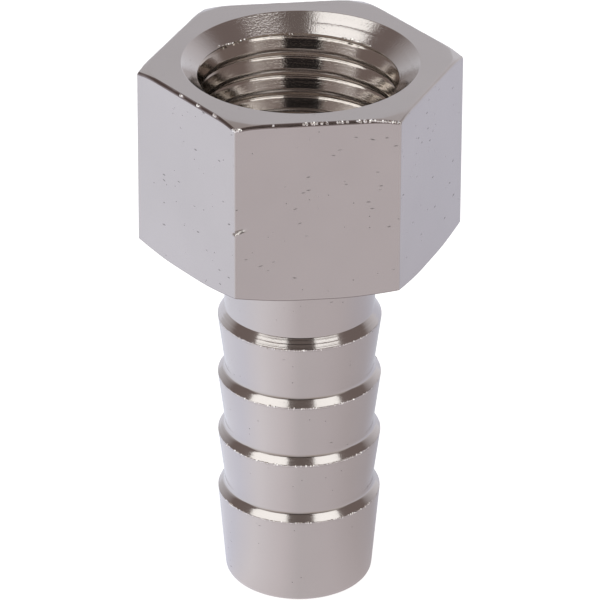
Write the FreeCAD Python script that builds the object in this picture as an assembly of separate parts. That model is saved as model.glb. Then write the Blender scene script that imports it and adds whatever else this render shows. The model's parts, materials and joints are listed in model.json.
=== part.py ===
"""Female threaded hose nipple: a G 1/4 socket in a hexagon head, with a barbed tail for a 9 mm hose.

It is one piece, turned from hexagon bar and bored through, so it is one solid.
Millimetres. +Z runs up the axis from the tail's end to the socket's mouth, and the origin is the
centre of the tail's end face. Two of the head's corners lie on the X axis, and two of its flats
face +Y and -Y.
"""
import FreeCAD
import Part
import math
import os

# Hexagon head, which the spanner turns
flat_count = 6
across_flats = 17.0
head_length = 11.65
mouth_face_over_flats = 1.2  # the flat mouth face is this much wider than across_flats: only corners are turned
mouth_chamfer_deg = 18.0     # slope of the turned corners beside the mouth face
under_face_over_flats = 0.2
under_chamfer_deg = 16.0

# Barbed tail, which the hose is pushed over
barb_count = 4
barb_pitch = 4.0
barb_crest_d = 10.0
barb_crest_land = 0.12       # length of the narrow cylinder that is the crest
barb_depth = 0.45            # crest down to root
barb_back_deg = 45.0         # slope of each barb's gripping side
barb_root_radius = 0.3
neck_depth = 0.4             # crest down to the plain neck
neck_length = 4.85
nose_length = 5.95           # first crest to the end of the tail
nose_taper_deg = 4.9
nose_radius = 0.6

# Passage, bored from the socket's mouth to the tail's end
thread_drill_d = 11.8        # tapping size of G 1/4, so the diameter of the thread's crests
countersink_over_drill = 2.5
countersink_deg = 101.0      # included angle
socket_floor = 2.15          # head's underside up to the end of the full drill diameter
drill_point_deg = 118.0      # included angle
flow_bore_d = 6.5
flow_bore_chamfer = 0.25

tool_clearance = 0.4         # how far a cutter reaches into open space

back_rise_per_depth = 1 / math.tan(math.radians(barb_back_deg))
last_crest_z = nose_length + (barb_count - 1) * barb_pitch
neck_foot_z = last_crest_z + neck_depth * back_rise_per_depth
head_z = neck_foot_z + neck_length
mouth_z = head_z + head_length

centre = FreeCAD.Vector(0, 0, 0)
z_axis = FreeCAD.Vector(0, 0, 1)


def at(radius, z):
    """A point of a turned profile, which lies in the XZ plane."""
    return FreeCAD.Vector(radius, 0, z)


def corner_arc(corners, n, radius):
    """The arc that rounds corner n of a profile, with the points where it begins and ends."""
    corner = corners[n]
    back = (corners[n - 1] - corner).normalize()
    ahead = (corners[(n + 1) % len(corners)] - corner).normalize()
    half_angle = back.getAngle(ahead) / 2
    reach = radius / math.tan(half_angle)
    to_arc = radius / math.sin(half_angle) - radius
    begin = corner + back * reach
    middle = corner + (back + ahead).normalize() * to_arc
    end = corner + ahead * reach
    return begin, Part.Arc(begin, middle, end).toShape(), end


def turned(corners, radii):
    """The solid that a closed profile sweeps about the axis. radii holds each rounded corner's radius."""
    starts, arcs, ends = [], [], []
    for n, corner in enumerate(corners):
        rounded = corner_arc(corners, n, radii[n]) if n in radii else (corner, None, corner)
        starts.append(rounded[0])
        arcs.append(rounded[1])
        ends.append(rounded[2])
    edges = [arc for arc in arcs if arc]
    for n, end in enumerate(ends):
        edges.append(Part.LineSegment(end, starts[(n + 1) % len(starts)]).toShape())
    wire = Part.Wire(Part.__sortEdges__(edges))
    return Part.Face(wire).revolve(centre, z_axis, 360)


def hexagon_head():
    """Hexagon bar whose corners are turned down to a cone at each end."""
    corner_r = across_flats / 2 / math.cos(math.pi / flat_count)
    corners = []
    for n in range(flat_count + 1):
        angle = 2 * math.pi * n / flat_count
        corners.append(FreeCAD.Vector(corner_r * math.cos(angle), corner_r * math.sin(angle), head_z))
    bar = Part.Face(Part.makePolygon(corners)).extrude(FreeCAD.Vector(0, 0, head_length))

    beyond_corners_r = corner_r + across_flats / 2
    mouth_face_r = (across_flats + mouth_face_over_flats) / 2
    under_face_r = (across_flats + under_face_over_flats) / 2
    mouth_drop = (beyond_corners_r - mouth_face_r) * math.tan(math.radians(mouth_chamfer_deg))
    under_rise = (beyond_corners_r - under_face_r) * math.tan(math.radians(under_chamfer_deg))
    lathe_envelope = turned([
        at(0, head_z),
        at(under_face_r, head_z),
        at(beyond_corners_r, head_z + under_rise),
        at(beyond_corners_r, mouth_z - mouth_drop),
        at(mouth_face_r, mouth_z),
        at(0, mouth_z),
    ], {})
    return bar.common(lathe_envelope)


def barbed_tail():
    """Nose, barbs and neck in one turned profile. Each barb widens gently from the nose up to a step."""
    crest_r = barb_crest_d / 2
    root_r = crest_r - barb_depth
    neck_r = crest_r - neck_depth
    nose_end_r = crest_r - (nose_length - barb_crest_land) * math.tan(math.radians(nose_taper_deg))
    profile = [at(0, 0), at(nose_end_r, 0)]
    radii = {1: nose_radius}
    for n in range(barb_count):
        crest_z = nose_length + n * barb_pitch
        if n > 0:
            root_z = crest_z - barb_pitch + barb_depth * back_rise_per_depth
            radii[len(profile)] = barb_root_radius
            profile.append(at(root_r, root_z))
        profile.append(at(crest_r, crest_z - barb_crest_land))
        profile.append(at(crest_r, crest_z))
    profile.append(at(neck_r, neck_foot_z))
    profile.append(at(neck_r, head_z))
    profile.append(at(0, head_z))
    return turned(profile, radii)


def passage():
    """What the drills and the countersink take out: the socket, its drill point and the flow bore."""
    drill_r = thread_drill_d / 2
    bore_r = flow_bore_d / 2
    mouth_r = drill_r + countersink_over_drill / 2
    countersink_drop_per_r = 1 / math.tan(math.radians(countersink_deg / 2))
    countersink_drop = (mouth_r - drill_r) * countersink_drop_per_r
    socket_end_z = head_z + socket_floor
    point_drop = (drill_r - bore_r) / math.tan(math.radians(drill_point_deg / 2))
    return turned([
        at(0, -tool_clearance),
        at(bore_r + flow_bore_chamfer + tool_clearance, -tool_clearance),
        at(bore_r, flow_bore_chamfer),
        at(bore_r, socket_end_z - point_drop),
        at(drill_r, socket_end_z),
        at(drill_r, mouth_z - countersink_drop),
        at(mouth_r + tool_clearance / countersink_drop_per_r, mouth_z + tool_clearance),
        at(0, mouth_z + tool_clearance),
    ], {})


def hose_nipple():
    blank = hexagon_head().fuse(barbed_tail()).removeSplitter()
    return blank.cut(passage()).Solids[0]


os.makedirs("parts", exist_ok=True)
nipple = hose_nipple()
nipple.exportStep("parts/hose_nipple.step")
print("faces", len(nipple.Faces), "volume", round(nipple.Volume, 1), "length", round(mouth_z, 3))
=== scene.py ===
# %% [markdown]
# # A hose nipple turned from hexagon bar
# The real object is one piece of brass: a hexagon head with a pipe thread tapped into it, and a
# barbed tail that a hose is pushed over. It is nickel-plated, so its whole look is what it
# reflects. The lesson makes the turned body from one outline, taps the thread with Geometry Nodes,
# leaves small burrs on the edges, plates it, and lights it like a small studio.
#
# The first cell loads the measured model. Everything later is placed in its frame, in metres.

# %% Load the measured frame
import bpy
import json
import math
import numpy as np
from mathutils import Matrix, Vector


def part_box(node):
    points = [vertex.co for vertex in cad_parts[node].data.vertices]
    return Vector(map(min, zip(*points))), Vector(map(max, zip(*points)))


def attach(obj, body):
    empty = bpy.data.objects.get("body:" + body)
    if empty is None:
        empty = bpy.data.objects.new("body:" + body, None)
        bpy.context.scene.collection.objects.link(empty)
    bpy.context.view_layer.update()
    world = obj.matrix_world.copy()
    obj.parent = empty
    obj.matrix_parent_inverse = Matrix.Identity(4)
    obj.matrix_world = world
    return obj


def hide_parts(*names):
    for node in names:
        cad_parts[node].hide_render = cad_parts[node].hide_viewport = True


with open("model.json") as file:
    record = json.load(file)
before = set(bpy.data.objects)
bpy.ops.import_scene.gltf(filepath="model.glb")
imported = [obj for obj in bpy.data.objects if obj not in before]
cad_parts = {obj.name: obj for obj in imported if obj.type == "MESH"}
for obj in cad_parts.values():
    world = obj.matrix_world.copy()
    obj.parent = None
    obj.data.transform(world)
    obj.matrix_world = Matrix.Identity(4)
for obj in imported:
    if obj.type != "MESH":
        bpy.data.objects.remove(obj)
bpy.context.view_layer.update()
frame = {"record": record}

MM = 0.001
NODE = "hose_nipple"
scene = bpy.context.scene

# %% [markdown]
# ## The sizes
# A turned part has few driving sizes. Those that the measured model holds are read from it: the
# hexagon across its flats, the whole length, and the socket and bore from its mounts.
# The others, such as the barbs' pitch, are written here once, in millimetres. The centre of the
# tail's end is the origin, and +Z runs up the axis.

# %% Read and name the sizes
low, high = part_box(NODE)
mounts = {mount["name"]: mount for mount in frame["record"]["mounts"]}
across_flats = (high.y - low.y) / MM
mouth_z = high.z / MM
thread_minor_r = mounts["female_thread"]["dims"]["r_mm"]
bore_r = mounts["flow_bore"]["dims"]["r_mm"]

head_length = 11.65
head_z = mouth_z - head_length
corner_rounding = 0.10
mouth_face_r = 9.1
mouth_slope = math.tan(math.radians(18))
under_face_r = 8.6
under_slope = math.tan(math.radians(16))

barb_count = 4
barb_pitch = 4.0
crest_r = 5.0
crest_land = 0.12
crest_raggedness = 0.03
barb_depth = 0.45
root_rounding = 0.45
neck_r = 4.6
neck_step_slope = math.tan(math.radians(57.5))
nose_length = 5.95
nose_end_r = 4.5
nose_rounding = 0.60

countersink_r = 7.15
countersink_depth = (countersink_r - thread_minor_r) / math.tan(math.radians(50.5))
socket_end_z = head_z + 2.15
drill_point_depth = (thread_minor_r - bore_r) / math.tan(math.radians(59))
bore_chamfer = 0.25
print("across flats", round(across_flats, 2), "mm, length", round(mouth_z, 2), "mm")

# %% [markdown]
# ## Columns around the axis
# The body is a grid: columns run around the axis, and rows follow the outline. A hexagon's corner
# falls between the columns of an even grid and looks ragged, so the columns are placed on it. Each
# corner is a small arc, as a drawn bar has, and the columns spread out towards the flat's middle.

# %% Place the columns
arc_steps = 3
flat_shares = (0.012, 0.03, 0.06, 0.10, 0.15, 0.21, 0.28, 0.35, 0.42,
               0.49, 0.56, 0.63, 0.70, 0.77, 0.84, 0.92, 1.0)


def half_sector():
    """Angle from a corner, and the rounded hexagon's radius there, up to the middle of the flat."""
    apothem = across_flats / 2
    half = math.pi / 6
    arc_centre = (apothem - corner_rounding) / math.cos(half)
    pairs = []
    for step in range(arc_steps + 1):
        turn = half * step / arc_steps
        x = arc_centre + corner_rounding * math.cos(turn)
        y = corner_rounding * math.sin(turn)
        pairs.append((math.atan2(y, x), math.hypot(x, y)))
    flat_start = pairs[-1][0]
    for share in flat_shares:
        angle = flat_start + (half - flat_start) * share
        pairs.append((angle, apothem / math.cos(half - angle)))
    return pairs


def all_columns():
    pairs = half_sector()
    sector = [(-angle, radius) for angle, radius in reversed(pairs[1:])] + pairs[:-1]
    angles = [angle + corner * math.pi / 3 for corner in range(6) for angle, _ in sector]
    radii = [radius for _ in range(6) for _, radius in sector]
    return np.array(angles), np.array(radii)


column_angle, hexagon_r = all_columns()
print("columns:", len(column_angle), "corner radius", round(hexagon_r.max(), 3), "mm")

# %% [markdown]
# ## The outline
# A lathe part is one outline spun about the axis. The outline here is a list of corners, each with
# a radius and a height for every column, so that the same list can follow the round tail and the
# six flats. Real edges are never sharp: each corner has a small rounding, and it is these narrow
# roundings that catch the light as the bright lines on the edges.
#
# The turned corners of the head are where a cone meets the flats. The cone's height depends only on
# the radius, so `mouth_height` and `under_height` give it, and every flat gets its curved edge.

# %% Give the cones and the corners a form
crease_width = 0.03


def past(radius, start):
    """How far a radius lies past the start of a cone, eased over a narrow crease."""
    over = radius - start
    return (over + np.sqrt(over ** 2 + crease_width ** 2)) / 2


def mouth_height(radius):
    return mouth_z - mouth_slope * past(radius, mouth_face_r)


def under_height(radius):
    return head_z + under_slope * past(radius, under_face_r)


outline = []


def corner(radius, height, rounding=0.0, steps=0, finish="turned", arc="edge", rough=0.0):
    """Adds a corner. finish names the surface up to the next corner, and arc that of the rounding.

    rough is how far the middle of the rounding is ragged.
    """
    columns = len(column_angle)
    outline.append({
        "r": np.broadcast_to(np.asarray(radius, float), columns),
        "z": np.broadcast_to(np.asarray(height, float), columns),
        "rounding": rounding,
        "steps": steps,
        "finish": finish,
        "arc": arc,
        "rough": rough,
    })


print("mouth cone drops", round(float(mouth_z - mouth_height(hexagon_r).min()), 2), "mm at the corners")

# %% [markdown]
# ## The tail
# Four barbs hold the hose. Each widens gently from the nose up to a narrow crest and then steps in
# sharply, so the hose slides on easily and can't slide off. A loop writes them, because they are all
# alike but for the last, whose step ends on the plain neck.

# %% Write the tail's corners
def tail_corners():
    corner(bore_r, bore_chamfer, 0.05, 2)
    corner(bore_r + bore_chamfer, 0, 0.04, 2)
    corner(nose_end_r, 0, nose_rounding, 6)
    for barb in range(barb_count):
        crest_z = nose_length + barb * barb_pitch
        corner(crest_r, crest_z - crest_land, 0.04, 2, rough=crest_raggedness)
        corner(crest_r, crest_z, 0.04, 2, "step", rough=crest_raggedness)
        if barb < barb_count - 1:
            corner(crest_r - barb_depth, crest_z + barb_depth, root_rounding, 6, arc="step")
        else:
            corner(neck_r, crest_z + (crest_r - neck_r) * neck_step_slope, 0.03, 2, arc="step")
    corner(neck_r, head_z, 0.15, 3, arc="turned")


tail_corners()
print("corners up to the neck:", len(outline))

# %% [markdown]
# ## The head
# The head is the bar itself, faced off at both ends. Rows at fixed radii cross the two end faces,
# but near a flat the hexagon's edge comes before them, so there they are crowded inwards. A few rows
# on the flats lie close together, where the nick comes later.

# %% Write the head's corners
nick_z = 27.9
nick_rows = nick_z + 0.07 * np.arange(-7, 8)
rim_rounding = 0.20
rim_raggedness = 0.008


def clipped_rows(stops, margin):
    """Rows at fixed radii that crowd together where the hexagon's edge comes first."""
    for n, stop in enumerate(stops):
        yield np.minimum(stop, hexagon_r - margin - 0.006 * (len(stops) - n))


def head_corners():
    for radius in clipped_rows((6.0, 7.6, 8.3, 8.54, 8.60, 8.66), 0.22):
        corner(radius, under_height(radius))
    foot, top = under_height(hexagon_r), mouth_height(hexagon_r)
    # The rounding at the foot and the one at the top take the rim finish, which carries a painted shadow.
    corner(hexagon_r, foot, 0.07, 3, "drawn", arc="rim")
    for height in (foot + 0.35, 25.0, 27.0, *nick_rows, 30.0, 32.5, top - 0.35):
        corner(hexagon_r, height, finish="drawn")
    corner(hexagon_r, top, rim_rounding, 5, arc="rim", rough=rim_raggedness)
    for radius in reversed(list(clipped_rows((7.4, 8.0, 8.6, 9.04, 9.1, 9.16), 0.30))):
        corner(radius, mouth_height(radius))


head_corners()
print("corners up to the mouth:", len(outline))

# %% [markdown]
# ## The socket
# The countersink leads the mating thread in. The tool has left a faint ring mark in it on the right,
# which is one row of the cone pressed in a little over part of the turn. Below it the socket is
# bored plain here, and the thread is tapped later.

# %% Write the socket's corners
ring_r = 6.60
ring_depth = 0.012
ring_ends = (math.radians(-5), math.radians(76))


def cone_height(radius):
    return mouth_z - countersink_depth * (countersink_r - radius) / (countersink_r - thread_minor_r)


def socket_corners():
    corner(countersink_r, mouth_z, 0.05, 3, "sunk")
    on_ring = (column_angle > ring_ends[0]) & (column_angle < ring_ends[1])
    for radius in (7.0, 6.82, 6.65, ring_r, 6.55, 6.4, 6.2, 6.02):
        dip = ring_depth * on_ring * (radius == ring_r)
        corner(radius, cone_height(radius) - dip, finish="sunk")
    corner(thread_minor_r, mouth_z - countersink_depth, 0.03, 2)
    corner(thread_minor_r, socket_end_z, 0.10, 3, arc="turned")
    corner(bore_r, socket_end_z - drill_point_depth, 0.08, 3, arc="turned")


socket_corners()
print("corners in the outline:", len(outline))

# %% [markdown]
# ## Rounding the corners
# Each corner becomes a short arc that is tangent to both of its neighbours. One more point is held
# close to each end of the arc. Without it, smooth shading would smear the bright rounding far into
# the flat surface beside it.

# %% Turn the corners into rows
def unit(vector):
    return vector / np.maximum(np.linalg.norm(vector, axis=0), 1e-12)


def rounded(before, point, after, rounding, steps):
    """Points along the arc that rounds a corner, with one more held close to each of its ends."""
    to_back, to_ahead = unit(before - point), unit(after - point)
    half = np.arccos(np.clip((to_back * to_ahead).sum(0), -1, 1)) / 2
    reach = rounding / np.tan(half)
    centre = point + unit(to_back + to_ahead) * rounding / np.sin(half)
    start = (point + to_back * reach - centre) / rounding
    end = (point + to_ahead * reach - centre) / rounding
    sweep = math.pi - 2 * half
    hold = min(0.06, rounding * 0.8)
    points = [point + to_back * (reach + hold)]
    for step in range(steps + 1):
        share = step / steps
        turn = np.sin((1 - share) * sweep) * start + np.sin(share * sweep) * end
        points.append(centre + rounding * turn / np.sin(sweep))
    points.append(point + to_ahead * (reach + hold))
    return points


def rounded_rows(n):
    """The rows of points that replace corner n, each with its finish."""
    here, before, after = outline[n], outline[n - 1], outline[(n + 1) % len(outline)]
    point = np.array([here["r"], here["z"]])
    if not here["steps"]:
        return [(point, here["finish"])]
    back = np.array([before["r"], before["z"]])
    ahead = np.array([after["r"], after["z"]])
    points = rounded(back, point, ahead, here["rounding"], here["steps"])
    names = [before["finish"]] + [here["arc"]] * here["steps"] + [here["finish"]] * 2
    return list(zip(points, names))


rows, row_finish, row_rough = [], [], []
for n in range(len(outline)):
    made = rounded_rows(n)
    for index, (points, finish) in enumerate(made):
        rows.append(points)
        row_finish.append(finish)
        on_arc = 1 < index < len(made) - 2
        row_rough.append(outline[n]["rough"] * on_arc)
rows = np.array(rows)
print("rows:", len(rows), "faces:", len(rows) * len(column_angle))

# %% [markdown]
# ## Ragged edges
# Plating builds up on a sharp turned edge and leaves it slightly rough, so the edge glitters
# instead of shining evenly. The middle points of the arcs are moved by a few hundredths of a
# millimetre on the barbs' crests, and by less on the head's upper edge, at random but always the
# same way, because the seed is fixed. The ends of an arc stay where they are, so the smooth surfaces
# beside it keep their clean reflections.

# %% Roughen the edges
rng = np.random.default_rng(7)
for index, amount in enumerate(row_rough):
    rows[index, 0] -= amount * np.abs(rng.normal(size=len(column_angle)))
    rows[index, 1] += 0.6 * amount * rng.normal(size=len(column_angle))
print("rows roughened:", sum(amount > 0 for amount in row_rough))

# %% [markdown]
# ## A nick in one corner
# Something hard has struck the front left corner of the hexagon. The blow left a short slanting
# groove and pushed a lip up below it. The rows are close together there, so their points can be
# pushed in and out along a slanting line.

# %% Strike the nick
nick_corner = math.radians(240)
nick_slope = 0.45
nick_middle, nick_half_length = 0.15, 0.38
groove_depth, groove_half_width = 0.14, 0.08
lip_height, lip_half_width, lip_offset = 0.05, 0.06, 0.16

sideways = hexagon_r * np.sin(column_angle - nick_corner)
near_corner = np.cos(column_angle - nick_corner) > 0
struck = near_corner * np.exp(-((sideways - nick_middle) / nick_half_length) ** 4)
for index in range(len(rows)):
    if row_finish[index] != "drawn":
        continue
    off_line = (rows[index, 1] - nick_z - nick_slope * sideways) * math.cos(math.atan(nick_slope))
    groove = groove_depth * np.exp(-(off_line / groove_half_width) ** 2)
    lip = lip_height * np.exp(-((off_line + lip_offset) / lip_half_width) ** 2)
    rows[index, 0] += (lip - groove) * struck
print("columns that the nick touches:", int((struck > 0.05).sum()))

# %% [markdown]
# ## Spin the rows into a closed body
# Rows and columns both close on themselves, because a part that is bored through has the topology
# of a ring. So there are no poles and no caps, and every face is a quad. Each face takes the finish
# of its row. The worn corners of the hexagon, and the stretch of its rims that is darkened with a
# painted shadow, are picked by column.

# %% Make the body mesh
BODY_FINISHES = ("turned", "drawn", "step", "edge", "rim", "arris", "sunk")
arris_reach = 0.011
# The rims of the left and front flats are darkened: a painted shadow along the edge, where its burrs and
# gap are in shade.
painted_shadow_rim_ends = (math.radians(178), math.radians(299))


def spin(rows, name):
    count, columns = len(rows), len(column_angle)
    from_corner = (column_angle + math.pi / 6) % (math.pi / 3) - math.pi / 6
    on_corner = np.abs(from_corner) < arris_reach
    rim_in_painted_shadow = (column_angle > painted_shadow_rim_ends[0]) & (column_angle < painted_shadow_rim_ends[1])
    x = rows[:, 0] * np.cos(column_angle)
    y = rows[:, 0] * np.sin(column_angle)
    points = np.stack([x, y, rows[:, 1]], axis=-1).reshape(-1, 3) * MM
    faces, slots = [], []
    for row in range(count):
        above = (row + 1) % count
        for column in range(columns):
            right = (column + 1) % columns
            faces.append((row * columns + column, row * columns + right,
                          above * columns + right, above * columns + column))
            finish = row_finish[row]
            if finish == "drawn" and on_corner[column] and on_corner[right]:
                finish = "arris"
            # Only there do the rim rows keep the darkened rim finish with its painted shadow; elsewhere
            # they are turned.
            if finish == "rim" and not rim_in_painted_shadow[column]:
                finish = "turned"
            slots.append(BODY_FINISHES.index(finish))
    mesh = bpy.data.meshes.new(name)
    mesh.from_pydata(points.tolist(), [], faces)
    mesh.polygons.foreach_set("material_index", slots)
    mesh.shade_smooth()
    mesh.update()
    return mesh


def link(name, data):
    made = bpy.data.objects.new(name, data)
    scene.collection.objects.link(made)
    return made


body = link("body_blank", spin(rows, "body_blank"))
print("body faces:", len(body.data.polygons))

# %% [markdown]
# ## A few words for nodes
# Every tree in this lesson is a list of nodes with some inputs set and others linked. Writing each
# link out hides what a tree does, so a few helpers say it shortly. `join` links an output to an
# input, or sets the input where it is given a plain value, and `add_node` does so for a whole node.

# %% Write the node helpers
def join(tree, value, slot):
    """Links an output to an input, or sets the input to a plain value."""
    if isinstance(value, bpy.types.NodeSocket):
        tree.links.new(value, slot)
    else:
        slot.default_value = value


def add_node(tree, kind, inputs=None, **settings):
    """Adds a node. settings are its own options, and inputs gives a value or an output by name."""
    node = tree.nodes.new(kind)
    for name, value in settings.items():
        setattr(node, name, value)
    for name, value in (inputs or {}).items():
        join(tree, value, node.inputs[name])
    return node


def socket(tree, name, kind, value=None, way="INPUT"):
    made = tree.interface.new_socket(name=name, in_out=way, socket_type=kind)
    if value is not None:
        made.default_value = value
    return made


def math_node(tree, operation, *values, clamp=False):
    inputs = dict(enumerate(values))
    return add_node(tree, "ShaderNodeMath", inputs, operation=operation, use_clamp=clamp).outputs[0]


def vector_node(tree, operation, *values):
    return add_node(tree, "ShaderNodeVectorMath", dict(enumerate(values)), operation=operation).outputs[0]


def split(tree, vector):
    """The X, Y and Z of a vector."""
    return add_node(tree, "ShaderNodeSeparateXYZ", {0: vector}).outputs


def combine(tree, x=0.0, y=0.0, z=0.0):
    return add_node(tree, "ShaderNodeCombineXYZ", {"X": x, "Y": y, "Z": z}).outputs[0]


def mix(tree, factor, first, second, blend="MIX"):
    """Mixes two colours."""
    inputs = {"Factor": factor, "A": first, "B": second}
    return add_node(tree, "ShaderNodeMix", inputs, data_type="RGBA", blend_type=blend).outputs["Result"]


print("node helpers are ready")

# %% [markdown]
# ## Plating: one group for the fine structure
# The plating itself has little colour. What makes it real is fine structure: lines from the tool,
# a soft unevenness under the shine, and small pits where the plating bridged a flaw. Several finishes
# share that structure with other strengths, so it is one node group. It gives only a height, a
# roughness and a colour factor. The colour factor varies a little at random, and darkens the pits:
# painted shade in them. The shader stays in each material.

# %% Build the plating group
def noise(tree, vector, scale, detail=2.0, roughness=0.5, output="Fac"):
    inputs = {"Vector": vector, "Scale": scale, "Detail": detail, "Roughness": roughness}
    return add_node(tree, "ShaderNodeTexNoise", inputs).outputs[output]


def marks(tree, vector, scale, radius, share):
    """Small pits, one in each chosen cell of a Voronoi texture."""
    cells = add_node(tree, "ShaderNodeTexVoronoi", {"Scale": scale, "Vector": vector}).outputs
    chance = add_node(tree, "ShaderNodeSeparateColor", {0: cells["Color"]}).outputs[0]
    chosen = math_node(tree, "LESS_THAN", chance, share)
    depth = math_node(tree, "SUBTRACT", radius, cells["Distance"], clamp=True)
    depth = math_node(tree, "MULTIPLY", depth, 1 / radius, clamp=True)
    return math_node(tree, "MULTIPLY", depth, chosen)


def plating_group():
    tree = bpy.data.node_groups.new("plating structure", "ShaderNodeTree")
    socket(tree, "Line Vector", "NodeSocketVector")
    for name, value in (("Line Depth", 0.2), ("Swell Depth", 0.9), ("Grain Depth", 0.1),
                        ("Dash Share", 0.0), ("Dot Share", 0.1), ("Base Roughness", 0.2)):
        socket(tree, name, "NodeSocketFloat", value)
    for name in ("Height", "Roughness", "Mottle and Pit Shade"):
        socket(tree, name, "NodeSocketFloat", way="OUTPUT")
    given = tree.nodes.new("NodeGroupInput").outputs
    result = tree.nodes.new("NodeGroupOutput").inputs
    place = tree.nodes.new("ShaderNodeTexCoord").outputs["Object"]

    lines = noise(tree, given["Line Vector"], 9000, 1)
    swell = noise(tree, place, 420)
    grain = noise(tree, place, 8500, 2, 0.6)
    mottle = noise(tree, place, 170, 3)
    bent = noise(tree, place, 900, output="Color")
    wavy = vector_node(tree, "MULTIPLY_ADD", bent, (0.0004, 0.0004, 0.0004), place)
    stretched = vector_node(tree, "MULTIPLY", wavy, (1.0, 1.0, 2.8))
    dashes = marks(tree, stretched, 700, 0.12, given["Dash Share"])
    dots = marks(tree, place, 2000, 0.11, given["Dot Share"])
    pits = math_node(tree, "MAXIMUM", dashes, dots)

    height = math_node(tree, "MULTIPLY", lines, given["Line Depth"])
    height = math_node(tree, "MULTIPLY_ADD", swell, given["Swell Depth"], height)
    height = math_node(tree, "MULTIPLY_ADD", grain, given["Grain Depth"], height)
    join(tree, math_node(tree, "MULTIPLY_ADD", pits, -3.0, height), result["Height"])
    rough = math_node(tree, "MULTIPLY_ADD", grain, 0.10, -0.05)
    rough = math_node(tree, "ADD", given["Base Roughness"], rough)
    join(tree, math_node(tree, "MULTIPLY_ADD", pits, 0.3, rough, clamp=True), result["Roughness"])
    shade = math_node(tree, "MULTIPLY_ADD", mottle, 0.12, 0.94)
    # The pits darken the colour factor: painted shade in the pits, on top of their dent in the bump.
    join(tree, math_node(tree, "MULTIPLY_ADD", pits, -0.75, shade), result["Mottle and Pit Shade"])
    return tree


plating = plating_group()
input_names = [item.name for item in plating.interface.items_tree if item.in_out == "INPUT"]
print("plating group inputs:", input_names)

# %% [markdown]
# ## The finishes
# Nine finishes share the group, because each tool leaves another surface. The turned faces carry
# fine rings around the axis, so their lines read only the distance from the axis and the height. The
# flats were drawn through a die, so their lines run along the axis, and their corners are worn dull.
# The barbs' steps, the narrow edges and the thread are burnished bright, and the thread is a little
# warmer: a painted reflection of the warm metal around it. The countersink has the deepest grain.
# The outer edges of the head's left and front flats are dark, as in the photograph, which is painted
# shadow in their colour, and the burrs are the palest, a painted highlight that makes them show white.

# %% Make the nine finishes
NICKEL = (0.675, 0.635, 0.605)


def line_vector(tree, kind):
    """Where the tool's lines change: across the rings of a turned face, or across the bar."""
    x, y, z = split(tree, tree.nodes.new("ShaderNodeTexCoord").outputs["Object"])
    if kind == "rings":
        squares = [math_node(tree, "MULTIPLY", part, part) for part in (x, y)]
        return combine(tree, math_node(tree, "SQRT", math_node(tree, "ADD", *squares)), 0.0, z)
    return combine(tree, x, y, math_node(tree, "MULTIPLY", z, 0.03))


def finish_material(name, kind, lines, swell, grain, dashes, dots, roughness, painted_light_tone=(1, 1, 1)):
    """Nickel with its own depths of lines, swell and grain, and its own shares of pits."""
    material = bpy.data.materials.new(name)
    material.use_nodes = True
    tree = material.node_tree
    shader = tree.nodes["Principled BSDF"].inputs
    shader["Metallic"].default_value = 1.0
    structure = add_node(tree, "ShaderNodeGroup", {
        "Line Vector": line_vector(tree, kind),
        "Line Depth": lines,
        "Swell Depth": swell,
        "Grain Depth": grain,
        "Dash Share": dashes,
        "Dot Share": dots,
        "Base Roughness": roughness,
    }, node_tree=plating).outputs
    # The last argument scales the nickel's colour: a painted shadow on the rims, a painted reflection in
    # the thread and a painted highlight on the burrs.
    base = (*(part * share for part, share in zip(NICKEL, painted_light_tone)), 1)
    relief = add_node(tree, "ShaderNodeBump", {
        "Strength": 1.0,
        "Distance": 0.001 * MM,
        "Height": structure["Height"],
    })
    # The group's colour factor holds the painted shade of the pits.
    join(tree, mix(tree, 1.0, base, structure["Mottle and Pit Shade"], "MULTIPLY"), shader["Base Color"])
    join(tree, structure["Roughness"], shader["Roughness"])
    join(tree, relief.outputs["Normal"], shader["Normal"])
    return material


finishes = {
    "turned": finish_material("turned nickel", "rings", 1.0, 3.6, 0.3, 0.15, 0.25, 0.20),
    "drawn": finish_material("drawn nickel", "bar", 0.8, 4.5, 0.4, 0.8, 0.32, 0.24),
    "step": finish_material("burnished nickel", "rings", 6.0, 3.5, 1.0, 0.0, 0.0, 0.13),
    "edge": finish_material("bright edge nickel", "rings", 0.5, 3.0, 1.0, 0.0, 0.0, 0.12),
    # The rim finish is nickel darkened by half: a painted shadow along the head's edges.
    "rim": finish_material("rim nickel with painted shadow", "rings", 0.5, 2.0, 1.0, 0.0, 0.0, 0.14, (0.50, 0.46, 0.46)),
    "arris": finish_material("worn corner nickel", "bar", 0.5, 3.0, 3.0, 0.0, 0.0, 0.30),
    "sunk": finish_material("countersunk nickel", "rings", 3.0, 4.0, 7.0, 0.0, 0.4, 0.14),
    # The thread's slightly warmer colour is a painted reflection of the warm metal facing it in the
    # groove.
    "thread": finish_material("thread nickel", "rings", 2.5, 2.5, 3.0, 0.0, 0.0, 0.10, (1, 0.98, 0.94)),
    # The burrs' colour is brighter than plain nickel: a painted highlight, so that they show white.
    "burr": finish_material("burr nickel with painted highlight", "rings", 0.0, 0.0, 2.0, 0.0, 0.0, 0.14, (1.45, 1.5, 1.5)),
}
for finish in BODY_FINISHES:
    body.data.materials.append(finishes[finish])
print("finishes:", [material.name for material in finishes.values()])

# %% [markdown]
# ## The groove of the thread
# The tap has cut a helical groove into the socket. Its flanks mirror the room, so the photograph
# shows their form: a narrow crest, one long and one short flank, and a rounded root between them.
# The outline of the groove is drawn first, in the plane that will be swept. It reaches into open
# space at the bore's side, so that the cut leaves no skin there.

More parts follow.
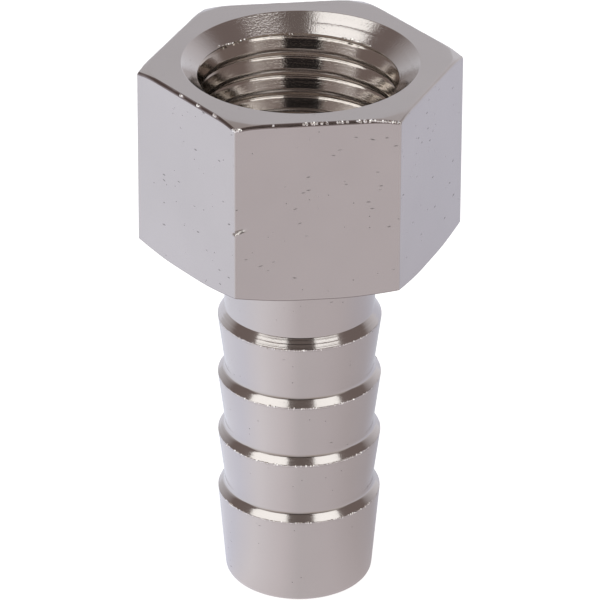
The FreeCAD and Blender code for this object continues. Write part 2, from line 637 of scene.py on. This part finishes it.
# %% Draw the groove's outline
thread_pitch = 1.337
thread_major_r = 13.157 / 2
GROOVE_CORNERS = (
    (5.400, -0.080, 0, 0),
    (5.888, -0.080, 0, 0),
    (5.902, 0.000, 0.06, 2),
    (6.212, 0.572, 0.08, 2),
    (6.322, 0.700, 0.045, 4),
    (5.902, 1.087, 0.06, 3),
    (5.888, 1.167, 0, 0),
    (5.400, 1.167, 0, 0),
)


def groove_outline():
    """The outline as (radius, height above the lower edge) points."""
    corners = [np.array([[radius], [height]]) for radius, height, _, _ in GROOVE_CORNERS]
    loop = []
    for n, (_, _, rounding, steps) in enumerate(GROOVE_CORNERS):
        if steps:
            loop += rounded(corners[n - 1], corners[n], corners[n + 1], rounding, steps)
        else:
            loop.append(corners[n])
    return [(float(point[0, 0]), float(point[1, 0])) for point in loop]


def groove_curve():
    loop = groove_outline()
    curve = bpy.data.curves.new("groove_outline", "CURVE")
    spline = curve.splines.new("POLY")
    spline.points.add(len(loop) - 1)
    for point, (radius, height) in zip(spline.points, reversed(loop)):
        point.co = ((radius - thread_major_r) * MM, -height * MM, 0, 1)
    spline.use_cyclic_u = True
    return link("groove_outline", curve)


outline_object = groove_curve()
print("points in the groove's outline:", len(outline_object.data.splines[0].points))

# %% [markdown]
# ## Tapping
# The groove follows a path, so Geometry Nodes make it: a spiral curve is the path, the groove's
# outline is swept along it, and a Boolean takes the result out of the body. The spiral starts above
# the mouth and ends below, where it eases in towards the axis over one turn, because the tap's lead
# only scratches the wall there. One point of the groove's edge, read from the photograph, sets where
# it begins. The swept faces carry a mark, so that what they cut gets the thread's finish. The
# modifier's inputs are set by their identifiers.

# %% Write the tree helpers
def geometry_tree(name, inputs):
    """A new tree, the outputs that give its inputs, and the slot that takes its result."""
    tree = bpy.data.node_groups.new(name, "GeometryNodeTree")
    socket(tree, "Geometry", "NodeSocketGeometry")
    for label, kind, value in inputs:
        socket(tree, label, kind, value)
    socket(tree, "Geometry", "NodeSocketGeometry", way="OUTPUT")
    given = tree.nodes.new("NodeGroupInput").outputs
    result = tree.nodes.new("NodeGroupOutput").inputs["Geometry"]
    return tree, given, result


def scaled(tree, vector, factor):
    node = add_node(tree, "ShaderNodeVectorMath", {0: vector, "Scale": factor}, operation="SCALE")
    return node.outputs[0]


def stored(tree, name, kind):
    """The values of an attribute that the mesh carries."""
    node = add_node(tree, "GeometryNodeInputNamedAttribute", {"Name": name}, data_type=kind)
    return node.outputs["Attribute"]


def finish_tree(tree, geometry, given, result, selection=True):
    """Ends a tree in plain geometry with its material."""
    real = add_node(tree, "GeometryNodeRealizeInstances", {"Geometry": geometry})
    finish = add_node(tree, "GeometryNodeSetMaterial", {
        "Geometry": real.outputs[0],
        "Selection": selection,
        "Material": given["Material"],
    })
    join(tree, finish.outputs[0], result)


def apply_tree(target, tree, values):
    """Runs a tree on an object and returns the plain mesh. Inputs are set by their identifiers."""
    modifier = target.modifiers.new(tree.name, "NODES")
    modifier.node_group = tree
    identifiers = {item.name: item.identifier for item in tree.interface.items_tree
                   if item.in_out == "INPUT"}
    for label, value in values.items():
        modifier[identifiers[label]] = value
    evaluated = target.evaluated_get(bpy.context.evaluated_depsgraph_get())
    mesh = bpy.data.meshes.new_from_object(evaluated)
    target.modifiers.remove(modifier)
    return mesh


print("tree helpers are ready")

# %% Build the tapping tree
def tapping_tree():
    tree, given, result = geometry_tree("tap a thread", (
        ("Groove Outline", "NodeSocketObject", None),
        ("Pitch", "NodeSocketFloat", 1.337 * MM),
        ("Turns", "NodeSocketFloat", 7.0),
        ("Root Radius", "NodeSocketFloat", 6.58 * MM),
        ("Steps per Turn", "NodeSocketInt", 120),
        ("Start Angle", "NodeSocketFloat", 0.0),
        ("Start Height", "NodeSocketFloat", 0.0),
        ("Lead Depth", "NodeSocketFloat", 0.7 * MM),
        ("Material", "NodeSocketMaterial", None),
    ))
    spiral = add_node(tree, "GeometryNodeCurveSpiral", {
        "Resolution": given["Steps per Turn"],
        "Rotations": given["Turns"],
        "Start Radius": given["Root Radius"],
        "End Radius": given["Root Radius"],
        "Height": math_node(tree, "MULTIPLY", given["Pitch"], given["Turns"]),
        "Reverse": True,
    })
    upright = add_node(tree, "GeometryNodeSetCurveNormal", {"Curve": spiral.outputs["Curve"]}, mode="Z_UP")
    outline_info = add_node(tree, "GeometryNodeObjectInfo", {"Object": given["Groove Outline"]})
    swept = add_node(tree, "GeometryNodeCurveToMesh", {
        "Curve": upright.outputs["Curve"],
        "Profile Curve": outline_info.outputs["Geometry"],
        "Fill Caps": True,
    })

    x, y, z = split(tree, tree.nodes.new("GeometryNodeInputPosition").outputs[0])
    ease = add_node(tree, "ShaderNodeMapRange", {
        "Value": z,
        "From Max": given["Pitch"],
        "To Min": given["Lead Depth"],
        "To Max": 0.0,
    }, interpolation_type="SMOOTHSTEP")
    outward = vector_node(tree, "NORMALIZE", combine(tree, x, y))
    shift = scaled(tree, outward, math_node(tree, "MULTIPLY", ease.outputs[0], -1.0))
    lead = add_node(tree, "GeometryNodeSetPosition", {"Geometry": swept.outputs[0], "Offset": shift})
    seated = add_node(tree, "GeometryNodeTransform", {
        "Geometry": lead.outputs[0],
        "Translation": combine(tree, z=given["Start Height"]),
        "Rotation": combine(tree, z=given["Start Angle"]),
    })
    smooth = add_node(tree, "GeometryNodeSetShadeSmooth", {"Geometry": seated.outputs[0]})
    label = add_node(tree, "GeometryNodeStoreNamedAttribute", {
        "Geometry": smooth.outputs[0],
        "Name": "tapped",
        "Value": True,
    }, data_type="BOOLEAN", domain="FACE")
    cut = add_node(tree, "GeometryNodeMeshBoolean", {
        "Mesh 1": given["Geometry"],
        "Mesh 2": label.outputs[0],
    }, operation="DIFFERENCE", solver="EXACT")
    finish_tree(tree, cut.outputs["Mesh"], given, result, stored(tree, "tapped", "BOOLEAN"))
    return tree


tapping = tapping_tree()
print("nodes in the tapping tree:", len(tapping.nodes))

# %% Tap the thread
edge_angle = math.radians(83)
edge_z = 32.89
turns_above = 2
thread_turns = 7.05
thread_top_z = edge_z + turns_above * thread_pitch
tapped = apply_tree(body, tapping, {
    "Groove Outline": outline_object,
    "Pitch": thread_pitch * MM,
    "Turns": thread_turns,
    "Root Radius": thread_major_r * MM,
    "Steps per Turn": 120,
    "Start Angle": edge_angle - 2 * math.pi * (thread_turns % 1),
    "Start Height": (thread_top_z - thread_turns * thread_pitch) * MM,
    "Lead Depth": 0.72 * MM,
    "Material": finishes["thread"],
})
print("tapped mesh:", len(tapped.polygons), "faces")

# %% [markdown]
# ## Burrs on the edges
# Where a tool leaves an edge it raises a row of tiny burrs, and the plating rounds them into beads.
# They show on the head's upper edge, most of all on the front flat, on the crests of the barbs and
# on the lower edge of the countersink. They follow edges, so Geometry Nodes place them: each edge is
# a curve, points stand on it at even steps, and some of the points carry a small lump, turned and
# sized at random with a fixed seed. Each point of an edge holds the share of burrs that it keeps and
# their scale.

# %% Lay out the edges
LONE_BURRS = (208.0, 219.3, 228.9, 240.0)
SOCKET_BURRS = (
    (135.8, 6.19, 0.7),
    (127.4, 6.04, 0.7),
    (116.9, 6.02, 0.1),
    (95.2, 5.96, 0.2),
    (90.0, 5.95, 0.9),
    (86.4, 5.95, 0.2),
    (65.7, 5.95, 0.1),
    (50.0, 5.98, 0.8),
    (38.4, 5.95, 0.6),
)
camera_side = math.radians(-97)
small_burrs = 0.75


def round_path(angle, radius, height):
    """Points around the axis, in metres, from angles, radii and heights in millimetres."""
    radius, height = radius + 0 * angle, height + 0 * angle
    return np.stack([radius * np.cos(angle), radius * np.sin(angle), height], axis=-1) * MM


def head_shares():
    """The share of burrs around the head: none behind, a few on the left, most on the front flat."""
    degrees = np.degrees(column_angle) % 360
    front = (degrees > 241) & (degrees < 299.5)
    share = np.where(front, 0.25 + 0.75 * ((degrees - 240) / 60) ** 2, 0.0)
    for lone in LONE_BURRS:
        share = np.maximum(share, np.exp(-((degrees - lone) / 1.2) ** 2))
    return share


def edge_paths():
    """Lines along the edges. Each point holds its share of burrs and their scale."""
    top = mouth_height(hexagon_r) - 0.015
    paths = [(round_path(column_angle, hexagon_r - 0.015, top), head_shares(), 1.0, True)]
    crest_share = 0.65 * np.clip(4 * np.cos(column_angle - camera_side) - 1.4, 0, 1)
    for barb in range(barb_count):
        crest = round_path(column_angle, crest_r - 0.02, nose_length + barb * barb_pitch - 0.03)
        paths.append((crest, crest_share, small_burrs, True))
    degrees, radius, share = np.array(SOCKET_BURRS).T
    on_cone = round_path(np.radians(degrees), radius, cone_height(radius))
    paths.append((on_cone, share, small_burrs, False))
    return paths


def path_object(paths):
    points, edges, shares, scales = [], [], [], []
    for path, share, scale, closed in paths:
        first, count = len(points), len(path)
        points += path.tolist()
        edges += [(first + n, first + (n + 1) % count) for n in range(count if closed else count - 1)]
        shares += share.tolist()
        scales += [scale] * count
    mesh = bpy.data.meshes.new("edge_paths")
    mesh.from_pydata(points, edges, [])
    for label, values in (("burr_share", shares), ("burr_scale", scales)):
        mesh.attributes.new(label, "FLOAT", "POINT").data.foreach_set("value", values)
    return link("edge_paths", mesh)


edge_object = path_object(edge_paths())
print("points on the edges:", len(edge_object.data.vertices))

# %% Build the burr tree
def random_value(tree, kind, seed, limits=None):
    """A value for each point: a number from 0 to 1, or a vector between the limits."""
    node = add_node(tree, "FunctionNodeRandomValue", {"Seed": seed, **(limits or {})}, data_type=kind)
    return node.outputs["Value"]


def burr_tree():
    tree, given, result = geometry_tree("burrs along an edge", (
        ("Spacing", "NodeSocketFloat", 0.2 * MM),
        ("Smallest", "NodeSocketVector", (0.02 * MM, 0.02 * MM, 0.02 * MM)),
        ("Largest", "NodeSocketVector", (0.06 * MM, 0.06 * MM, 0.06 * MM)),
        ("Seed", "NodeSocketInt", 1),
        ("Material", "NodeSocketMaterial", None),
    ))
    path = add_node(tree, "GeometryNodeMeshToCurve", {"Mesh": given["Geometry"]})
    points = add_node(tree, "GeometryNodeCurveToPoints", {
        "Curve": path.outputs[0],
        "Length": given["Spacing"],
    }, mode="LENGTH")
    chance = random_value(tree, "FLOAT", given["Seed"])
    keep = math_node(tree, "LESS_THAN", chance, stored(tree, "burr_share", "FLOAT"))

    lump = add_node(tree, "GeometryNodeMeshIcoSphere", {"Radius": 1.0, "Subdivisions": 1})
    size_seed = math_node(tree, "ADD", given["Seed"], 1)
    size_limits = {"Min": given["Smallest"], "Max": given["Largest"]}
    size = random_value(tree, "FLOAT_VECTOR", size_seed, size_limits)
    turn_seed = math_node(tree, "ADD", given["Seed"], 2)
    turn = random_value(tree, "FLOAT_VECTOR", turn_seed, {"Max": (6.28, 6.28, 6.28)})
    placed = add_node(tree, "GeometryNodeInstanceOnPoints", {
        "Points": points.outputs["Points"],
        "Selection": keep,
        "Instance": lump.outputs["Mesh"],
        "Rotation": turn,
        "Scale": scaled(tree, size, stored(tree, "burr_scale", "FLOAT")),
    })
    finish_tree(tree, placed.outputs[0], given, result)
    return tree


# The burrs take the burr finish, whose bright colour is a painted highlight.
beads = apply_tree(edge_object, burr_tree(), {
    "Spacing": 0.15 * MM,
    "Smallest": (0.05 * MM, 0.05 * MM, 0.05 * MM),
    "Largest": (0.15 * MM, 0.15 * MM, 0.12 * MM),
    "Seed": 5,
    "Material": finishes["burr"],
})
print("burrs:", len(beads.polygons) // 20)

# %% [markdown]
# ## The finished piece
# The piece replaces the measured solid and rides on the model's one body. Edges that turn sharply
# are marked sharp, so the run-out of the thread on the countersink stays crisp.

# %% Finish the piece
nipple = link("hose_nipple_plated", tapped)
tapped.name = "hose_nipple_plated"
tapped.set_sharp_from_angle(angle=math.radians(35))
bpy.data.objects.remove(body)
bpy.data.objects.remove(outline_object)
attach(nipple, "root")
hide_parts(NODE)

burrs = link("edge_burrs", beads)
beads.name = "edge_burrs"
bpy.data.objects.remove(edge_object)
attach(burrs, "root")
print("pieces:", nipple.name, "and", burrs.name)

# %% [markdown]
# ## Studio
# A shiny part shows the room. Here that is a pale table, a dim room above it and two soft boxes. The
# camera sees a white table with the object's shadow on it, but the metal mirrors one that glows with
# painted light and shade: brightest on the left, darker towards the camera and on the right, and
# darker still near the object on the right, a painted shadow of the object. This painted light is
# written around the compass, near the object and far from it, and the camera stands at 0 degrees.

# %% Write the table's painted light
# Painted light and shade on the table near the object, from -180 to 180 degrees.
PAINTED_TABLE_LIGHT_NEAR = (
    (-180, (0.74, 0.77, 0.86)),
    (-160, (0.85, 0.89, 1.00)),
    (-126, (0.82, 0.84, 0.95)),
    (-91, (0.77, 0.79, 0.92)),
    (-55, (0.86, 0.84, 0.90)),
    (-18, (0.73, 0.69, 0.73)),
    (0, (0.62, 0.59, 0.62)),
    (37, (0.61, 0.57, 0.60)),
    (73, (0.53, 0.49, 0.51)),
    (109, (0.49, 0.46, 0.49)),
    (143, (0.54, 0.54, 0.61)),
    (160, (0.63, 0.66, 0.71)),
    (180, (0.74, 0.77, 0.86)),
)
# Painted light and shade on the table far from the object.
PAINTED_TABLE_LIGHT_FAR = (
    (-180, (0.73, 0.74, 0.82)),
    (-106, (0.79, 0.81, 0.91)),
    (-60, (0.80, 0.79, 0.85)),
    (-20, (0.70, 0.67, 0.71)),
    (0, (0.60, 0.56, 0.59)),
    (60, (0.60, 0.56, 0.59)),
    (90, (0.57, 0.55, 0.61)),
    (134, (0.62, 0.63, 0.73)),
    (180, (0.73, 0.74, 0.82)),
)


def colour_ramp(tree, value, stops):
    """A ramp node from (position, colour) stops."""
    ramp = add_node(tree, "ShaderNodeValToRGB", {"Fac": value})
    while len(ramp.color_ramp.elements) < len(stops):
        ramp.color_ramp.elements.new(0.5)
    for element, (position, colour) in zip(ramp.color_ramp.elements, stops):
        element.position = position
        element.color = (*colour, 1)
    return ramp.outputs["Color"]


def round_the_compass(tree, angle, tints):
    """A colour for each direction from the object, from -180 to 180 degrees."""
    share = math_node(tree, "MULTIPLY_ADD", angle, 0.5 / math.pi, 0.5)
    return colour_ramp(tree, share, [((degrees + 180) / 360, colour) for degrees, colour in tints])


print("tints near and far:", len(PAINTED_TABLE_LIGHT_NEAR), "and", len(PAINTED_TABLE_LIGHT_FAR))

# %% Make the table
camera_azimuth = 6.985
table_radius = 1.5
near_end, far_start = 20 * MM, 55 * MM


def empty_tree(owner):
    """The node tree of a new material or world, without its nodes."""
    owner.use_nodes = True
    owner.node_tree.nodes.clear()
    return owner.node_tree


def emission(tree, colour, strength=1.0):
    inputs = {"Color": colour, "Strength": strength}
    return add_node(tree, "ShaderNodeEmission", inputs).outputs[0]


def table_material():
    material = bpy.data.materials.new("pale table")
    tree = empty_tree(material)
    place = tree.nodes.new("ShaderNodeTexCoord").outputs["Object"]
    x, y, _ = split(tree, place)
    angle = math_node(tree, "ARCTAN2", y, x)
    length = add_node(tree, "ShaderNodeVectorMath", {0: place}, operation="LENGTH")
    away = add_node(tree, "ShaderNodeMapRange", {
        "Value": length.outputs["Value"],
        "From Min": near_end,
        "From Max": far_start,
    })
    near = round_the_compass(tree, angle, PAINTED_TABLE_LIGHT_NEAR)
    far = round_the_compass(tree, angle, PAINTED_TABLE_LIGHT_FAR)
    # For every ray but the camera's the table glows with the painted light and shade, mixed from near to
    # far.
    mirrored = emission(tree, mix(tree, away.outputs[0], near, far))

    lit = add_node(tree, "ShaderNodeBsdfDiffuse", {"Color": (0.8, 0.8, 0.8, 1)})
    seen = add_node(tree, "ShaderNodeAddShader", {
        0: emission(tree, (1, 1, 1, 1), 0.8),
        1: lit.outputs[0],
    })
    choose = add_node(tree, "ShaderNodeMixShader", {
        0: tree.nodes.new("ShaderNodeLightPath").outputs["Is Camera Ray"],
        1: mirrored,
        2: seen.outputs[0],
    })
    add_node(tree, "ShaderNodeOutputMaterial", {"Surface": choose.outputs[0]})
    return material


bpy.ops.mesh.primitive_circle_add(vertices=96, radius=table_radius, fill_type="NGON")
table = bpy.context.object
table.name = "table"
table.rotation_euler.z = math.radians(-90 - camera_azimuth)
table.data.materials.append(table_material())
print("table radius", table_radius, "m, its X axis towards the camera")

# %% [markdown]
# The world is the room. The camera sees it pure white, as a cut-out photograph does. The metal sees
# a dim brown room with a pale glow above the table's edge. The glow is low in front, lowest at the
# sides, and rises behind the object, where a backdrop hangs. So the top face looks pale and the bore
# dark. Above the camera the room is a little darker and greyer, and the camera itself is a dark
# patch in the glow, which the flanks of the thread mirror.

# %% Write the room's tints
CAMERA_DARK = (0.010, 0.009, 0.009, 1)
ROOM_GAP = (0.160, 0.132, 0.124, 1)
ROOM_BROWNS = (
    (-180, (0.200, 0.120, 0.065)),
    (-125, (0.190, 0.152, 0.145)),
    (125, (0.190, 0.152, 0.145)),
    (180, (0.200, 0.120, 0.065)),
)
GLOW_TINTS = (
    (-180, (0.68, 0.70, 0.77)),
    (-161, (0.66, 0.67, 0.72)),
    (-140, (0.60, 0.60, 0.64)),
    (-100, (0.56, 0.54, 0.56)),
    (-60, (0.72, 0.70, 0.71)),
    (-40, (0.66, 0.62, 0.60)),
    (-21, (0.60, 0.54, 0.52)),
    (0, (0.58, 0.55, 0.57)),
    (20, (0.55, 0.49, 0.46)),
    (40, (0.62, 0.58, 0.56)),
    (100, (0.58, 0.56, 0.58)),
    (140, (0.74, 0.73, 0.78)),
    (165, (0.82, 0.84, 0.92)),
    (180, (0.68, 0.70, 0.77)),
)
GLOW_TOPS = (
    (-180, 95),
    (-161, 100),
    (-146, 62),
    (-137, 50),
    (-129, 40),
    (-117, 31),
    (-104, 16),
    (-80, 4),
    (-54, 46),
    (-40, 34),
    (-21, 31),
    (0, 32),
    (21, 30),
    (40, 34),
    (54, 46),
    (80, 4),
    (104, 16),
    (117, 41),
    (127, 58),
    (137, 100),
    (157, 100),
    (180, 95),
)
print("directions with a glow height:", len(GLOW_TOPS))

# %% Make the room
ramp_top = 150  # degrees that a ramp value of 1 stands for
lens_elevation = 29
lens_fade = (3.5 / ramp_top, 7 / ramp_top)
camera_fade = (math.radians(18), math.radians(27))
strip_fade = (0.12, 0.32)
back_fade = (0.05, 0.30)


def fade_out(tree, value, full, none):
    """1 where a value is below full, and falling to 0 where it reaches none."""
    share = math_node(tree, "DIVIDE", value, none - full)
    return math_node(tree, "SUBTRACT", none / (none - full), share, clamp=True)


def room():
    world = bpy.data.worlds.new("studio")
    tree = empty_tree(world)
    x, y, up = split(tree, tree.nodes.new("ShaderNodeTexCoord").outputs["Generated"])
    turned = add_node(tree, "ShaderNodeVectorRotate", {
        "Vector": combine(tree, x, y),
        "Angle": math.radians(90 + camera_azimuth),
    }, rotation_type="Z_AXIS")
    front, side, _ = split(tree, turned.outputs[0])
    angle = math_node(tree, "ARCTAN2", side, front)

    tops = [(degrees, (top / ramp_top,) * 3) for degrees, top in GLOW_TOPS]
    glow_top = round_the_compass(tree, angle, tops)
    elevation = math_node(tree, "DIVIDE", math_node(tree, "ARCSINE", up), math.radians(ramp_top))
    glow = math_node(tree, "SUBTRACT", 1.0, math_node(tree, "DIVIDE", elevation, glow_top), clamp=True)

    to_side = math_node(tree, "ABSOLUTE", math_node(tree, "DIVIDE", side, up))
    to_back = math_node(tree, "MULTIPLY", math_node(tree, "DIVIDE", front, up), -1.0)
    strip = fade_out(tree, to_side, *strip_fade)
    wedge = fade_out(tree, math_node(tree, "ABSOLUTE", angle), *camera_fade)
    gap = math_node(tree, "MAXIMUM", strip, wedge)
    gap = math_node(tree, "MULTIPLY", gap, fade_out(tree, to_back, *back_fade))
    from_lens = math_node(tree, "SUBTRACT", elevation, lens_elevation / ramp_top)
    lens = fade_out(tree, math_node(tree, "ABSOLUTE", from_lens), *lens_fade)
    lens = math_node(tree, "MULTIPLY", lens, wedge)

    ceiling = mix(tree, gap, round_the_compass(tree, angle, ROOM_BROWNS), ROOM_GAP)
    mirrored = mix(tree, glow, ceiling, round_the_compass(tree, angle, GLOW_TINTS))
    mirrored = mix(tree, lens, mirrored, CAMERA_DARK)
    on_camera = tree.nodes.new("ShaderNodeLightPath").outputs["Is Camera Ray"]
    light = add_node(tree, "ShaderNodeBackground", {
        "Color": mix(tree, on_camera, mirrored, (1, 1, 1, 1)),
    })
    add_node(tree, "ShaderNodeOutputWorld", {"Surface": light.outputs[0]})
    return world


scene.world = room()
print("nodes in the room:", len(scene.world.node_tree.nodes))

# %% [markdown]
# Two soft boxes hang flat above the table, to the left and right in front of the object. They widen
# towards the camera like two fans, and leave a gap above it. Their corners are written as shares of
# the height at which they hang, so that the white stripes in the barbs' steps and in the
# countersink begin and end where the photograph has them.

# %% Hang the soft boxes
box_height = 0.5
box_radiance = 1.34


def soft_box(name, corners):
    """A flat lamp above the head. Its corners are (right, in front) as shares of its height."""
    mesh = bpy.data.meshes.new(name)
    points = [(right * box_height, -front * box_height, box_height) for right, front in corners]
    mesh.from_pydata(points, [], [(0, 1, 2, 3)])
    material = bpy.data.materials.new(name)
    tree = empty_tree(material)
    add_node(tree, "ShaderNodeOutputMaterial", {"Surface": emission(tree, (1, 1, 1, 1), box_radiance)})
    mesh.materials.append(material)
    lamp = link(name, mesh)
    lamp.location.z = mouth_z * MM
    lamp.rotation_euler.z = math.radians(-camera_azimuth)


soft_box("left_box", ((-0.11, 0.15), (-0.76, -0.24), (-1.85, 0.95), (-0.49, 1.44)))
soft_box("right_box", ((0.22, 0.28), (0.66, 0.05), (1.62, 1.00), (0.62, 1.46)))
print("soft boxes: 2, at", box_height, "m above the mouth")

# %% [markdown]
# ## Camera
# The photograph was taken with a long lens from about 28 degrees above the table. The camera's
# place was fitted to the outline of the hexagon, the countersink and the barbs. It is an offset from
# the middle of the mouth, in millimetres along the camera's own axes.

# %% Place the camera
camera_elevation = 27.803
camera_roll = 0.231
camera_offset = Vector((0.016, -14.244, 339.467))
focal_length = 341.56


def photo_camera():
    data = bpy.data.cameras.new("camera")
    data.sensor_width = 36
    data.lens = focal_length
    data.clip_start = 0.01
    camera = link("camera", data)
    turn = Matrix.Rotation(math.radians(-camera_azimuth), 3, "Z")
    tilt = Matrix.Rotation(math.radians(90 - camera_elevation), 3, "X")
    roll = Matrix.Rotation(math.radians(camera_roll), 3, "Z")
    facing = turn @ tilt
    place = Vector((0, 0, mouth_z)) + facing @ camera_offset
    camera.matrix_world = Matrix.Translation(place * MM) @ (facing @ roll).to_4x4()
    return camera


scene.camera = photo_camera()
scene.view_settings.view_transform = "Standard"
print("camera at, mm:", [round(v / MM, 1) for v in scene.camera.matrix_world.translation])

# %% [markdown]
# ## Finish
# The last step updates the view layer.

# %% Finish
bpy.context.view_layer.update()
